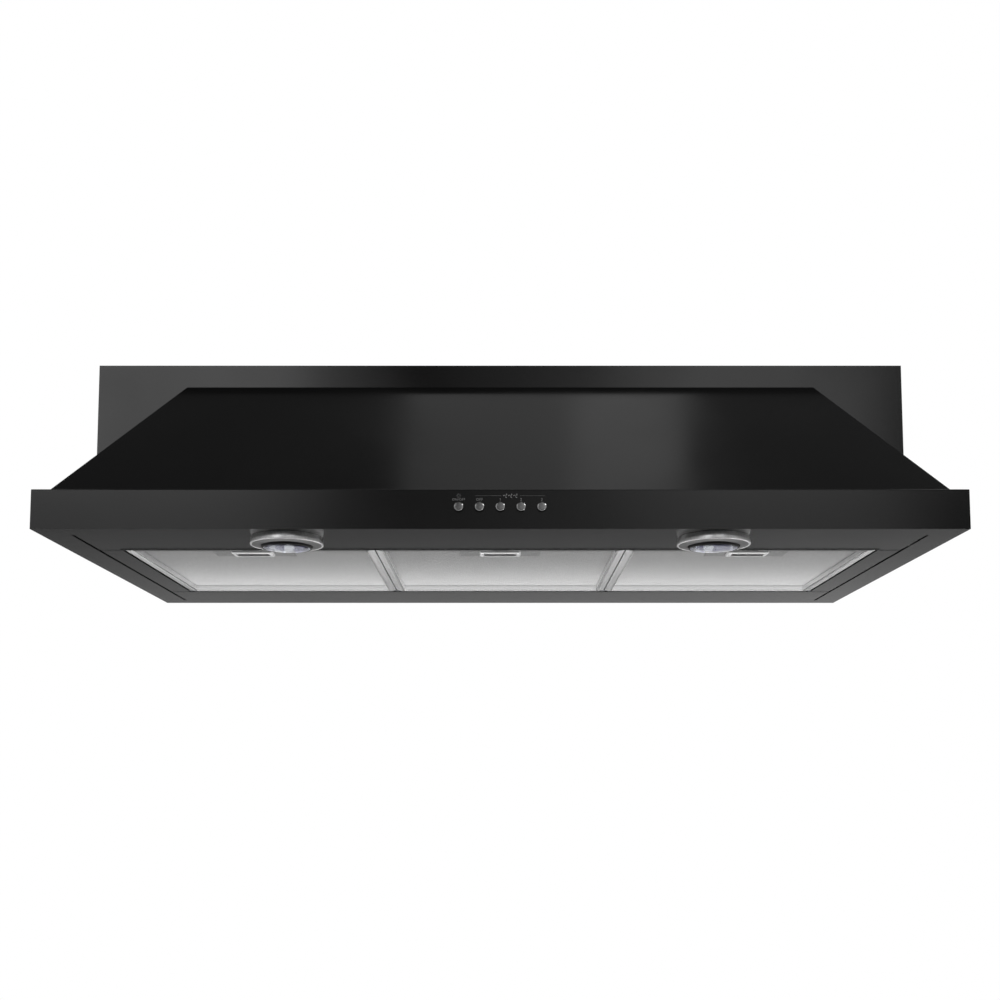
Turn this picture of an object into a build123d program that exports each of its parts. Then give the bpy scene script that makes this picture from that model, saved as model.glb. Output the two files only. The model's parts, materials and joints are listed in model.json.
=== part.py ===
from build123d import *
import math
import os

# An under cabinet range hood in millimetres. The origin is the middle of the top rear edge:
# X runs to the right, Y towards the wall and Z up, so the hood lies before Y = 0 and below Z = 0.

# Overall size
hood_width = 913.0
hood_depth = 490.0
hood_height = 228.0
box_depth = 304.0
sheet = 1.0

# Front apron and visor
apron_height = 39.5
apron_ledge = 26.5
visor_top_drop = 25.5
visor_hip_inset = 100.5
visor_lip = 6.0
visor_seat_gap = 0.2
bend_radius = 1.5

# Underside
opening_side_margin = 56.5
opening_front_margin = 106.5
opening_rear_margin = 97.5
groove_side_margin = 30.0
groove_width = 3.0
groove_front_margin = 30.0
groove_rear_margin = 24.0
hem_depth = 3.0
hem_drop = 0.5
hem_radius = 0.45
rail_gap = 3.0
rail_tab = 7.5
rail_doubler_inset = 2.0

# Filters
filter_count = 3
filter_edge_gap = 2.2
filter_gap = 1.0
filter_front_gap = 1.0
filter_rear_gap = 0.8
filter_height = 10.0
filter_lift = 0.5
filter_flange = 10.0
filter_wall = 1.0
filter_lip = 0.8
mesh_thickness = 4.0
mesh_gap = 0.2

# Filter pivot
pivot_setback = 3.5
pivot_height = 3.5
pin_radius = 1.5
pin_clearance = 0.05
pin_tip_gap = 0.2
ear_thickness = 3.0
ear_reach = 4.5
ear_rise = 6.5
ear_clearance = 0.6
ear_gap = 0.2
notch_depth = 4.5
pin_lug = 3.0
channel_gap = 1.0
channel_height = 14.0
channel_depth = 26.0

# Filter latch
latch_travel = 6.5
latch_plate_width = 86.0
latch_plate_length = 44.0
loop_width = 44.0
loop_length = 22.0
loop_bar = 4.5
loop_thickness = 2.5
loop_setback = 11.5
loop_drop = 0.5
loop_radius = 2.0
post_width = 3.0
post_length = 6.0
post_clearance = 1.0
latch_thickness = 1.5
latch_clearance = 0.2
arm_width = 6.0
latch_front_bar = 6.0
catch_width = 16.0
catch_thickness = 0.8
catch_reach = 6.0
catch_foot = 1.5
catch_side_gap = 1.0
finger_hole_margin = 1.5

# Lamps
lamp_spacing = 428.0
lamp_setback = 41.0
bezel_radius = 36.5
bezel_height = 8.0
bezel_edge_radius = 1.5
bezel_sleeve_height = 10.0
bezel_sleeve_wall = 2.5
lamp_hole_clearance = 0.5
bulb_radius = 25.0
bulb_clearance = 0.75
bulb_bulge = 2.0
bulb_rim = 4.0
bulb_neck_radius = 9.0
bulb_glass_radius = 15.0
bulb_glass_drop = 0.6
bulb_bowl_inset = 3.5
bulb_height = 39.0
bulb_neck_height = 8.0
bulb_pin_radius = 1.0
bulb_pin_spacing = 5.3
bulb_pin_length = 6.0
bulb_pin_clearance = 0.3
socket_size = 18.0
socket_height = 11.0
lamp_strap_width = 14.0
lamp_strap_span = 76.0
lamp_strap_foot = 12.0

# Push buttons and switch
button_count = 5
button_pitch = 20.2
button_radius = 4.5
button_rise = 21.7
button_proud = 3.8
button_travel = 2.5
button_hole_clearance = 0.3
button_edge_radius = 0.6
collar_radius = 5.8
collar_thickness = 1.5
collar_gap = 0.2
stem_radius = 2.2
stem_clearance = 0.08
stem_length = 14.0
switch_gap = 7.0
switch_depth = 20.0
switch_height = 19.0
switch_end_margin = 11.0
switch_bore_spare = 3.0
bracket_foot = 10.0
bracket_lip_gap = 0.5

# Duct collar and dampers
duct_width = 254.0
duct_depth = 82.6
duct_setback = 100.0
collar_rise = 25.0
collar_flange = 8.0
collar_hole_clearance = 0.5
damper_height = 10.0
damper_thickness = 0.8
damper_gap = 1.2
damper_rod_radius = 1.5
damper_rod_offset = 2.0
damper_rod_clearance = 0.06
damper_stop_depth = 3.0
damper_stop_gap = 0.2

# Blower
wheel_radius = 62.0
wheel_inner_radius = 50.0
wheel_width = 224.0
blade_count = 36
blade_thickness = 1.2
blade_cant = 25.0
wheel_ring = 2.0
wheel_disc_place = -20.0
wheel_disc = 2.0
hub_radius = 11.0
hub_length = 26.0
casing_radius = 88.0
casing_side_gap = 5.0
casing_floor_gap = 17.5
wheel_forward = 10.0
wheel_lift = 2.0
inlet_radius = 49.0
blower_flange = 12.0
motor_radius = 36.0
motor_front = 8.0
motor_bell_radius = 30.0
motor_bell_length = 12.0
shaft_radius = 4.0
shaft_clearance = 0.05
shaft_in_motor = 80.0
motor_arm_width = 14.0
motor_arm_reach = 66.0
motor_arm_count = 3
motor_screw_circle = 58.0

# Wiring
wiring_bore_radius = 11.1
wiring_box_width = 66.0
wiring_box_depth = 60.0
wiring_box_height = 80.0
wiring_box_side_gap = 4.5
wiring_box_hole_radius = 14.0
cover_tab = 10.0
terminal_width = 38.0
terminal_depth = 24.0
terminal_height = 18.0
terminal_inset = 4.0
terminal_edge_radius = 2.0
capacitor_size = (50.0, 26.0, 35.0)
capacitor_place = (300.0, -60.0)
capacitor_edge_radius = 4.0
cable_radius = 3.0
cable_lift = 0.2
cable_side_margin = 16.5
cable_front_setback = 16.5
cable_bend = 12.0
cable_start_x = 30.0
cable_end_rise = 11.0
clip_clearance = 0.3
clip_width = 8.0
clip_foot = 14.0

# Fasteners
screw_radius = 2.0
screw_head_radius = 4.0
screw_head_height = 2.4
screw_clearance = 0.3
screw_length = 4.0
blower_screw_length = 2.5
mount_slot_radius = 3.0
mount_slot_length = 14.0
mount_spacing_x = 800.0
mount_spacing_y = 210.0

# Planes and lines that several pieces share
half = hood_width / 2
inner_half = half - sheet
front_y = -hood_depth
fascia_back = front_y + sheet
box_y = -box_depth
bottom_z = -hood_height
pan_top = bottom_z + sheet
ledge_z = bottom_z + apron_height
ledge_under = ledge_z - sheet
ledge_back = front_y + apron_ledge
visor_half = inner_half - visor_seat_gap
opening_half = half - opening_side_margin
opening_front = front_y + opening_front_margin
opening_rear = -opening_rear_margin
groove_out = half - groove_side_margin
groove_in = groove_out - groove_width
filter_front = opening_front + filter_front_gap
filter_rear = opening_rear - filter_rear_gap
filter_low = bottom_z + filter_lift
filter_high = filter_low + filter_height
filter_span = 2 * (opening_half - filter_edge_gap)
filter_width = (filter_span - (filter_count - 1) * filter_gap) / filter_count
filter_pitch = filter_width + filter_gap
pivot_y = opening_rear - pivot_setback
pivot_z = bottom_z + pivot_height
channel_y = opening_rear + channel_gap
latch_plate_low = filter_low + filter_wall
latch_plate_high = latch_plate_low + filter_wall
latch_low = latch_plate_high + latch_clearance
latch_high = latch_low + latch_thickness
loop_front = opening_front + loop_setback
loop_high = latch_plate_low - loop_drop
loop_low = loop_high - loop_thickness
lamp_y = front_y + lamp_setback
bezel_low = bottom_z - bezel_height
bezel_hole_radius = bulb_radius + bulb_clearance
sleeve_radius = bezel_hole_radius + bezel_sleeve_wall
lamp_hole_radius = sleeve_radius + lamp_hole_clearance
bulb_low = bezel_low - bulb_bulge
bulb_top = bulb_low + bulb_height
button_z = bottom_z + button_rise
switch_front = fascia_back + switch_gap
switch_back = switch_front + switch_depth
switch_half = (button_count - 1) * button_pitch / 2 + switch_end_margin
switch_top = button_z + switch_height / 2
bracket_y = (switch_front, ledge_back - visor_lip - bracket_lip_gap)
stem_end = switch_front + stem_length - switch_gap + collar_gap + collar_thickness
duct_y = -duct_setback
duct_half_x = duct_width / 2
duct_half_y = duct_depth / 2
collar_base = -sheet - sheet
casing_half = wheel_width / 2 + casing_side_gap
casing_outer = casing_half + sheet
outlet_half = duct_half_y - 2 * sheet - damper_stop_depth / 2
casing_z = filter_high + casing_floor_gap + casing_radius
casing_y = duct_y + outlet_half - casing_radius + sheet
wheel_y = casing_y - wheel_forward
wheel_z = casing_z + wheel_lift
wiring_right = inner_half - wiring_box_side_gap
wiring_left = wiring_right - wiring_box_width
wiring_front = -sheet - wiring_box_depth
wiring_low = -sheet - wiring_box_height
wiring_bore_x = (wiring_left + wiring_right) / 2
wiring_bore_z = -sheet - wiring_box_height / 2
cable_z = pan_top + cable_radius + cable_lift
cable_x = half - cable_side_margin
cable_y = opening_front - cable_front_setback
cable_rear_y = -sheet - wiring_box_depth / 2
sides = {"left": -1, "right": 1}


def block(x, y, z):
    """Box between the given limits along X, Y and Z."""
    centre = Pos((x[0] + x[1]) / 2, (y[0] + y[1]) / 2, (z[0] + z[1]) / 2)
    return centre * Box(x[1] - x[0], y[1] - y[0], z[1] - z[0])


def rod_x(radius, x, y, z):
    """Round rod along X between the limits x."""
    return Pos((x[0] + x[1]) / 2, y, z) * Rot(0, 90, 0) * Cylinder(radius, x[1] - x[0])


def rod_y(radius, x, y, z):
    """Round rod along Y between the limits y."""
    return Pos(x, (y[0] + y[1]) / 2, z) * Rot(90, 0, 0) * Cylinder(radius, y[1] - y[0])


def rod_z(radius, x, y, z):
    """Round rod along Z between the limits z."""
    return Pos(x, y, (z[0] + z[1]) / 2) * Cylinder(radius, z[1] - z[0])


def outline_x(points, x):
    """Outline of Y and Z points, drawn out along X between the limits x."""
    face = Plane.YZ * Polygon(*points, align=None)
    return Pos(x[0], 0, 0) * extrude(face, amount=x[1] - x[0], dir=(1, 0, 0))


def turned(points, x, y):
    """Solid of revolution of radius and height points about a vertical axis."""
    face = Plane.XZ * Polygon(*points, align=None)
    return Pos(x, y, 0) * revolve(face, axis=Axis.Z)


def around(centre, size):
    """Limits of a span about its centre."""
    return (centre - size / 2, centre + size / 2)


def spaced(count, pitch):
    """Places of a row of pieces about the middle."""
    return [(i - (count - 1) / 2) * pitch for i in range(count)]


def save(name, shape):
    """Write one piece."""
    export_step(shape, os.path.join("parts", name + ".step"))


filter_places = dict(zip(("left", "center", "right"), spaced(filter_count, filter_pitch)))
button_names = ("lamp_button", "off_button", "low_button", "medium_button", "high_button")
button_places = dict(zip(button_names, spaced(button_count, button_pitch)))
blower_screw_places = [(x, y)
                       for x in (-casing_outer - blower_flange / 2, casing_outer + blower_flange / 2)
                       for y in (duct_y - outlet_half / 2, duct_y + outlet_half / 2)]


def top_panel():
    """Top of the box, with the duct hole and the slots for the cabinet screws."""
    panel = block((-half, half), (box_y, 0), (-sheet, 0))
    hole_x = duct_half_x + collar_hole_clearance
    hole_y = duct_half_y + collar_hole_clearance
    panel -= block((-hole_x, hole_x), (duct_y - hole_y, duct_y + hole_y), (-2 * sheet, sheet))
    slot = extrude(SlotOverall(mount_slot_length, 2 * mount_slot_radius), amount=2 * sheet, both=True)
    for x in around(0, mount_spacing_x):
        for y in around(box_y / 2, mount_spacing_y):
            panel -= Pos(x, y, 0) * slot
    for x, y in blower_screw_places:
        panel -= rod_z(screw_radius + screw_clearance, x, y, (-2 * sheet, sheet))
    return panel


def back_panel():
    """Wall side of the box, with the knockout for the supply cable."""
    panel = block((-inner_half, inner_half), (-sheet, 0), (pan_top, -sheet))
    return panel - rod_y(wiring_bore_radius, wiring_bore_x, (-2 * sheet, sheet), wiring_bore_z)


def side_panel(side):
    """L-shaped side, high at the box and low along the canopy."""
    points = [(0, bottom_z), (0, -sheet), (box_y, -sheet), (box_y, ledge_z), (ledge_back, ledge_z),
              (ledge_back, ledge_under), (fascia_back, ledge_under), (fascia_back, bottom_z)]
    panel = outline_x(points, (inner_half, half))
    return panel if side > 0 else mirror(panel, about=Plane.YZ)


def box_front_panel():
    """Upright front of the box behind the visor."""
    return block((-inner_half, inner_half), (box_y, box_y + sheet), (ledge_under, -sheet))


def visor_wedge(inset):
    """Solid wedge under the visor's slope and hips, moved in by a sheet thickness."""
    top_z = -visor_top_drop
    slope = math.hypot(box_y - ledge_back, top_z - ledge_z)
    rise = (top_z - ledge_z) / slope
    run = (box_y - ledge_back) / slope
    wedge = outline_x([(ledge_back, ledge_z), (box_y, ledge_z), (box_y, top_z)], (-half, half))
    shift = Vector(0, inset * rise, -inset * run)
    front = Plane(origin=Vector(0, ledge_back, ledge_z) + shift, z_dir=(0, -rise, run))
    wedge = split(wedge, bisect_by=front, keep=Keep.BOTTOM)
    hip_run = visor_hip_inset - (half - visor_half)
    hip_rise = top_z - ledge_z
    hip_length = math.hypot(hip_run, hip_rise)
    for side in sides.values():
        normal = Vector(side * hip_rise / hip_length, 0, hip_run / hip_length)
        foot = Vector(side * visor_half, 0, ledge_z)
        hip = Plane(origin=foot - normal * inset, z_dir=normal)
        wedge = split(wedge, bisect_by=hip, keep=Keep.BOTTOM)
    return wedge


def canopy_visor():
    """Sloped front and two hips folded from one sheet, with a skirt inside the sides and a lip in front."""
    sheet_form = visor_wedge(0) - visor_wedge(sheet)
    out_y = ledge_back + visor_seat_gap
    low_z = ledge_under - sheet
    skirt = block((-visor_half, visor_half), (out_y, box_y), (low_z, ledge_z + sheet))
    skirt &= visor_wedge(0) + block((-half, half), (front_y, 0), (bottom_z, ledge_z))
    lip = block((-visor_half, visor_half), (out_y - visor_lip, box_y), (low_z, ledge_under))
    hollow = block((-visor_half + 2 * sheet, visor_half - 2 * sheet), (out_y + 2 * sheet, box_y + sheet),
                   (low_z - sheet, ledge_z + 2 * sheet))
    return sheet_form + (skirt + lip - hollow)


def front_apron():
    """Fascia and top ledge bent from one sheet, with the button holes."""
    points = [(front_y, bottom_z), (front_y, ledge_z), (ledge_back, ledge_z),
              (ledge_back, ledge_under), (fascia_back, ledge_under), (fascia_back, bottom_z)]
    apron = outline_x(points, (-half, half))
    bend = apron.edges().filter_by(Axis.X).filter_by(
        lambda e: abs(e.center().Y - front_y) < sheet / 2 and abs(e.center().Z - ledge_z) < sheet / 2)
    apron = fillet(bend, bend_radius)
    for x in button_places.values():
        hole_y = (front_y - sheet, fascia_back + sheet)
        apron -= rod_y(button_radius + button_hole_clearance, x, hole_y, button_z)
    return apron


def underside_pan():
    """Bottom sheet with the filter window, the two long grooves, the lamp holes and the front hem."""
    pan = block((-inner_half, inner_half), (fascia_back, 0), (bottom_z, pan_top))
    hem = block((-opening_half, opening_half), (opening_front - hem_depth, opening_front),
                (bottom_z - hem_drop, bottom_z))
    low_edges = hem.edges().filter_by(Axis.X).group_by(Axis.Z)[0]
    pan += fillet(low_edges, hem_radius)
    cut_z = (bottom_z - sheet, pan_top + sheet)
    pan -= block((-groove_out, groove_out), (opening_front, opening_rear), cut_z)
    for side in sides.values():
        x = tuple(sorted((side * groove_in, side * groove_out)))
        pan -= block(x, (front_y + groove_front_margin, -groove_rear_margin), cut_z)
        pan -= rod_z(lamp_hole_radius, side * lamp_spacing / 2, lamp_y, cut_z)
    return pan


def filter_rail(side):
    """Side strip beside the filters, with a doubler whose ends lie on the pan."""
    rail = block((opening_half, groove_in), (opening_front + rail_gap, opening_rear - rail_gap),
                 (bottom_z, pan_top))
    rail += block((opening_half + rail_doubler_inset, groove_in - rail_doubler_inset),
                  (opening_front - rail_tab, opening_rear + rail_tab), (pan_top, pan_top + sheet))
    return rail if side > 0 else mirror(rail, about=Plane.YZ)


def rear_filter_channel():
    """Angle on the rear strip whose ears hold the filters' pivot pins."""
    x = (-opening_half, opening_half)
    channel = block(x, (channel_y, channel_y + channel_depth), (pan_top, pan_top + sheet))
    channel += block(x, (channel_y, channel_y + sheet), (pan_top, pan_top + channel_height))
    for place in spaced(filter_count + 1, filter_pitch):
        x = around(place, ear_thickness)
        ear = block(x, (pivot_y - ear_reach, channel_y), (pan_top, pivot_z + ear_rise))
        ear += block(x, (pivot_y - ear_reach, opening_rear - ear_gap), (filter_low, pan_top))
        hole_x = around(place, 2 * ear_thickness)
        channel += ear - rod_x(pin_radius + pin_clearance, hole_x, pivot_y, pivot_z)
    return channel


def window_lip(place):
    """Upright lip round the frame's lower window, open in front where the latch slides."""
    edge = filter_flange - filter_lip
    x = around(place, filter_width)
    y = (filter_front, filter_rear)
    z = (filter_low, filter_high - filter_wall - mesh_thickness - mesh_gap)
    lip = block((x[0] + edge, x[1] - edge), (y[0] + edge, y[1] - edge), z)
    lip -= block((x[0] + filter_flange, x[1] - filter_flange),
                 (y[0] + filter_flange, y[1] - filter_flange), (z[0] - 1, z[1] + 1))
    return lip - block(around(place, latch_plate_width), (y[0], y[0] + filter_flange),
                       (z[0] + filter_wall, z[1] + 1))


def filter_frame(place):
    """Channel-section frame with pivot pins at the rear and a latch plate at the front."""
    x = around(place, filter_width)
    y = (filter_front, filter_rear)
    frame = block(x, y, (filter_low, filter_high))
    frame -= block((x[0] + filter_wall, x[1] - filter_wall), (y[0] + filter_wall, y[1] - filter_wall),
                   (filter_low + filter_wall, filter_high - filter_wall))
    frame -= block((x[0] + filter_flange, x[1] - filter_flange),
                   (y[0] + filter_flange, y[1] - filter_flange), (filter_low - 1, filter_high + 1))
    frame += window_lip(place)
    frame += block(around(place, latch_plate_width),
                   (y[0] + filter_wall, y[0] + latch_plate_length), (latch_plate_low, latch_plate_high))
    frame -= block(around(place, catch_width + 2 * catch_side_gap),
                   (y[0] - 1, y[0] + latch_travel), (filter_low - 1, latch_high + latch_clearance))
    cut_z = (filter_low - 1, latch_plate_high + latch_clearance)
    finger = loop_width / 2 - loop_bar - finger_hole_margin
    frame -= block((place - finger, place + finger),
                   (loop_front + loop_bar, loop_front + loop_length), cut_z)
    for side in sides.values():
        post = place + side * (loop_width - loop_bar) / 2
        mid = loop_front + loop_length / 2
        frame -= block(around(post, post_width + 2 * post_clearance),
                       (mid - post_length / 2 - post_clearance,
                        mid + post_length / 2 + latch_travel + post_clearance), cut_z)
        edge = place + side * filter_width / 2
        lug = edge - side * notch_depth
        reach = math.hypot(ear_reach, ear_rise) + ear_clearance
        notch_y = (pivot_y - reach, filter_rear + 1)
        frame -= block(sorted((lug, edge + side)), notch_y, (filter_low - 1, filter_high + 1))
        frame += block(sorted((lug, lug - side * pin_lug)), (pivot_y - reach, filter_rear),
                       (filter_low, filter_high))
        tip = edge + side * (filter_gap / 2 - pin_tip_gap)
        frame += rod_x(pin_radius, sorted((lug, tip)), pivot_y, pivot_z)
    return frame


def filter_mesh(place):
    """Pad of layered aluminium mesh under the frame's upper flange."""
    room = filter_wall + mesh_gap
    top = filter_high - filter_wall
    x = around(place, filter_width - 2 * room)
    pad = block(x, (filter_front + room, filter_rear - room), (top - mesh_thickness, top))
    reach = math.hypot(ear_reach, ear_rise) + ear_clearance + mesh_gap
    for side in sides.values():
        edge = place + side * filter_width / 2
        corner = edge - side * (notch_depth + pin_lug + mesh_gap)
        pad -= block(sorted((corner, edge)), (pivot_y - reach, filter_rear), (pan_top, filter_high))
    return pad


def filter_latch(place):
    """Sliding latch: two arms and a bar above the plate, and the finger loop below it."""
    mid = loop_front + loop_length / 2
    bar_front = filter_front + filter_wall + latch_clearance
    bar_y = (bar_front, bar_front + latch_front_bar)
    latch = block(around(place, loop_width), bar_y, (latch_low, latch_high))
    loop = block(around(place, loop_width), (loop_front, loop_front + loop_length), (loop_low, loop_high))
    loop = fillet(loop.edges().filter_by(Axis.Z), loop_bar / 2)
    loop -= block(around(place, loop_width - 2 * loop_bar), around(mid, loop_length - 2 * loop_bar),
                  (loop_low - sheet, loop_high + sheet))
    low_edges = loop.faces().sort_by(Axis.Z)[0].outer_wire().edges()
    latch += fillet(low_edges, loop_radius)
    for side in sides.values():
        post = place + side * (loop_width - loop_bar) / 2
        arm = place + side * (loop_width - arm_width) / 2
        latch += block(around(arm, arm_width), (bar_front, mid + post_length / 2), (latch_low, latch_high))
        latch += block(around(post, post_width), around(mid, post_length), (loop_high, latch_low))
    return latch


def filter_catch(place):
    """Spring leaf on the latch whose foot rests on the front strip."""
    bar_front = filter_front + filter_wall + latch_clearance
    tip = opening_front - catch_reach
    x = around(place, catch_width)
    leaf = block(x, (tip, bar_front), (latch_low, latch_low + catch_thickness))
    return leaf + block(x, (tip, tip + catch_foot), (pan_top, latch_low))


def lamp_bezel(x):
    """Ring below the pan with a sleeve up through its hole."""
    ring = turned([(bezel_hole_radius, bezel_low), (bezel_radius, bezel_low), (bezel_radius, bottom_z),
                   (sleeve_radius, bottom_z), (sleeve_radius, bottom_z + bezel_sleeve_height),
                   (bezel_hole_radius, bottom_z + bezel_sleeve_height)], x, lamp_y)
    low = ring.edges().filter_by(GeomType.CIRCLE).group_by(Axis.Z)[0]
    return fillet(low, bezel_edge_radius)


def lamp_bulb(x):
    """Reflector bulb with a bulging front glass, a neck and two pins."""
    rim_low = bulb_low + bulb_bulge
    neck_low = bulb_top - bulb_neck_height
    bowl = (bulb_radius - bulb_bowl_inset, (rim_low + neck_low) / 2)
    bulb_points = [(0, bulb_low), (bulb_glass_radius, bulb_low + bulb_glass_drop), (bulb_radius, rim_low),
                   (bulb_radius, rim_low + bulb_rim), bowl, (bulb_neck_radius, neck_low),
                   (bulb_neck_radius, bulb_top), (0, bulb_top)]
    bulb = turned(bulb_points, x, lamp_y)
    for pin in around(x, bulb_pin_spacing):
        bulb += rod_z(bulb_pin_radius, pin, lamp_y, (bulb_top, bulb_top + bulb_pin_length))
    return bulb


def lamp_socket(x):
    """Ceramic socket above the bulb."""
    socket_z = (bulb_top, bulb_top + socket_height)
    socket = block(around(x, socket_size), around(lamp_y, lamp_strap_width), socket_z)
    for pin in around(x, bulb_pin_spacing):
        hole = (bulb_top - 1, bulb_top + bulb_pin_length + 1)
        socket -= rod_z(bulb_pin_radius + bulb_pin_clearance, pin, lamp_y, hole)
    return socket


def lamp_strap(x):
    """Strap over the socket that stands on the pan."""
    y = around(lamp_y, lamp_strap_width)
    top = bulb_top + socket_height
    outer = block(around(x, lamp_strap_span), y, (pan_top, top + sheet))
    inner = block(around(x, lamp_strap_span - 2 * sheet), (y[0] - 1, y[1] + 1), (pan_top - 1, top))
    feet = block(around(x, lamp_strap_span + 2 * lamp_strap_foot), y, (pan_top, pan_top + sheet))
    feet -= block(around(x, lamp_strap_span - 2 * sheet), (y[0] - 1, y[1] + 1), (pan_top - 1, top))
    return outer - inner + feet


def push_button(x):
    """Round button with a collar behind the fascia and a stem into the switch."""
    head = rod_y(button_radius, x, (front_y - button_proud, fascia_back + collar_gap), button_z)
    front_edge = head.edges().filter_by(GeomType.CIRCLE).sort_by(Axis.Y)[0]
    head = fillet(front_edge, button_edge_radius)
    collar = (fascia_back + collar_gap, fascia_back + collar_gap + collar_thickness)
    head += rod_y(collar_radius, x, collar, button_z)
    return head + rod_y(stem_radius, x, (collar[1], stem_end), button_z)


def switch_block():
    """Push switch with a bore for each button's stem."""
    body = block((-switch_half, switch_half), (switch_front, switch_back), around(button_z, switch_height))
    bore_end = stem_end + button_travel + switch_bore_spare
    for x in button_places.values():
        body -= rod_y(stem_radius + stem_clearance, x, (switch_front - 1, bore_end), button_z)
    return body


def switch_bracket():
    """Plate on the switch with two legs up to the apron's ledge."""
    bracket = block((-switch_half - sheet, switch_half + sheet), bracket_y, (switch_top, switch_top + sheet))
    for side in sides.values():
        leg = tuple(sorted((side * switch_half, side * (switch_half + sheet))))
        foot = tuple(sorted((side * switch_half, side * (switch_half + bracket_foot))))
        bracket += block(leg, bracket_y, (switch_top, ledge_under))
        bracket += block(foot, bracket_y, (ledge_under - sheet, ledge_under))
    return bracket


def exhaust_collar():
    """Rectangular duct collar on a base plate under the top panel, with stops and rod holes."""
    collar = block((-duct_half_x, duct_half_x), around(duct_y, duct_depth), (collar_base, collar_rise))
    collar -= block((-duct_half_x + sheet, duct_half_x - sheet), around(duct_y, duct_depth - 2 * sheet),
                    (collar_base - 1, collar_rise + 1))
    base_x = duct_half_x + collar_flange
    base_y = duct_half_y + collar_flange
    base = block((-base_x, base_x), (duct_y - base_y, duct_y + base_y), (collar_base, -sheet))
    base -= block((-casing_half, casing_half), (duct_y - outlet_half, duct_y + outlet_half),
                  (collar_base - 1, sheet))
    collar += base
    stop_top = damper_height - damper_stop_gap
    stop = block((-duct_half_x, duct_half_x), around(duct_y, duct_depth), (stop_top - sheet, stop_top))
    stop -= block((-duct_half_x, duct_half_x),
                  around(duct_y, duct_depth - 2 * (sheet + damper_stop_depth)), (stop_top - 2, stop_top + 1))
    collar += stop
    for side in sides.values():
        rod_y_place = duct_y + side * damper_rod_offset
        collar -= rod_x(damper_rod_radius + damper_rod_clearance, (-duct_half_x - 1, duct_half_x + 1),
                        rod_y_place, damper_height + damper_rod_radius)
    for x, y in blower_screw_places:
        collar -= rod_z(screw_radius + screw_clearance, x, y, (collar_base - 1, 0))
    return collar


def damper_flap(side):
    """Backdraft flap on a rod across the collar, lying on its stop."""
    rod_place = duct_y + side * damper_rod_offset
    rod_height = damper_height + damper_rod_radius
    far = duct_y + side * (duct_half_y - sheet - damper_gap)
    flap = block((-duct_half_x + sheet + damper_gap, duct_half_x - sheet - damper_gap),
                 sorted((rod_place, far)), (damper_height, damper_height + damper_thickness))
    return flap + rod_x(damper_rod_radius, (-duct_half_x, duct_half_x), rod_place, rod_height)


def casing_form(radius, half_width, outlet, top):
    """Drum of the blower casing joined to its upright outlet."""
    drum = rod_x(radius, (-half_width, half_width), casing_y, casing_z)
    return drum + block((-half_width, half_width), (duct_y - outlet, duct_y + outlet), (casing_z, top))


def blower_housing():
    """Sheet casing with an inlet each side, an outlet to the collar and a fixing flange."""
    housing = casing_form(casing_radius, casing_outer, outlet_half + sheet, collar_base)
    housing -= casing_form(casing_radius - sheet, casing_half, outlet_half, 0)
    flange_x = casing_outer + blower_flange
    flange = block((-flange_x, flange_x), (duct_y - outlet_half - sheet, duct_y + outlet_half + sheet),
                   (collar_base - sheet, collar_base))
    housing += flange - block((-casing_outer, casing_outer), (box_y, 0), (wheel_z, 0))
    housing -= rod_x(inlet_radius, (-half, half), wheel_y, wheel_z)
    for y, z in motor_screw_places():
        housing -= rod_x(screw_radius + screw_clearance, (casing_half - 1, casing_outer + 1), y, z)
    for x, y in blower_screw_places:
        housing -= rod_z(screw_radius + screw_clearance, x, y, (collar_base - 2 * sheet, 0))
    return housing


def motor_angles():
    """Directions of the motor bracket's arms."""
    return [90 + i * 360 / motor_arm_count for i in range(motor_arm_count)]


def motor_screw_places():
    """Y and Z places of the screws on the motor bracket's arms."""
    turns = [math.radians(a) for a in motor_angles()]
    return [(wheel_y + motor_screw_circle * math.cos(a), wheel_z + motor_screw_circle * math.sin(a))
            for a in turns]


def blower_wheel():
    """Squirrel-cage wheel: canted blades between two rings, a middle disc and a hub."""
    half_width = wheel_width / 2
    blade = Box(wheel_width, wheel_radius - wheel_inner_radius, blade_thickness)
    middle = (wheel_radius + wheel_inner_radius) / 2
    pieces = []
    for i in range(blade_count):
        turn = Rot(i * 360 / blade_count, 0, 0)
        pieces.append(Pos(0, wheel_y, wheel_z) * turn * Pos(0, middle, 0) * Rot(blade_cant, 0, 0) * blade)
    for x in ((-half_width, -half_width + wheel_ring), (half_width - wheel_ring, half_width)):
        ring = rod_x(wheel_radius, x, wheel_y, wheel_z)
        pieces.append(ring - rod_x(wheel_inner_radius, (x[0] - 1, x[1] + 1), wheel_y, wheel_z))
    disc = (wheel_disc_place - wheel_disc / 2, wheel_disc_place + wheel_disc / 2)
    pieces.append(rod_x(wheel_radius - wheel_ring, disc, wheel_y, wheel_z))
    pieces.append(rod_x(hub_radius, around(wheel_disc_place, hub_length), wheel_y, wheel_z))
    wheel = pieces[0].fuse(*pieces[1:])
    return wheel - rod_x(shaft_radius + shaft_clearance, (-half, half), wheel_y, wheel_z)


def motor():
    """Motor in the right inlet, with a bell at its front and a bore for the shaft."""
    body = rod_x(motor_radius, (motor_front + motor_bell_length, casing_outer), wheel_y, wheel_z)
    body += rod_x(motor_bell_radius, (motor_front, casing_outer), wheel_y, wheel_z)
    bore_end = motor_front + shaft_in_motor + 1
    return body - rod_x(shaft_radius + shaft_clearance, (motor_front - 1, bore_end), wheel_y, wheel_z)


def motor_shaft():
    """Shaft from the motor through the wheel's hub."""
    start = wheel_disc_place - hub_length / 2 - shaft_radius
    return rod_x(shaft_radius, (start, motor_front + shaft_in_motor), wheel_y, wheel_z)


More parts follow.
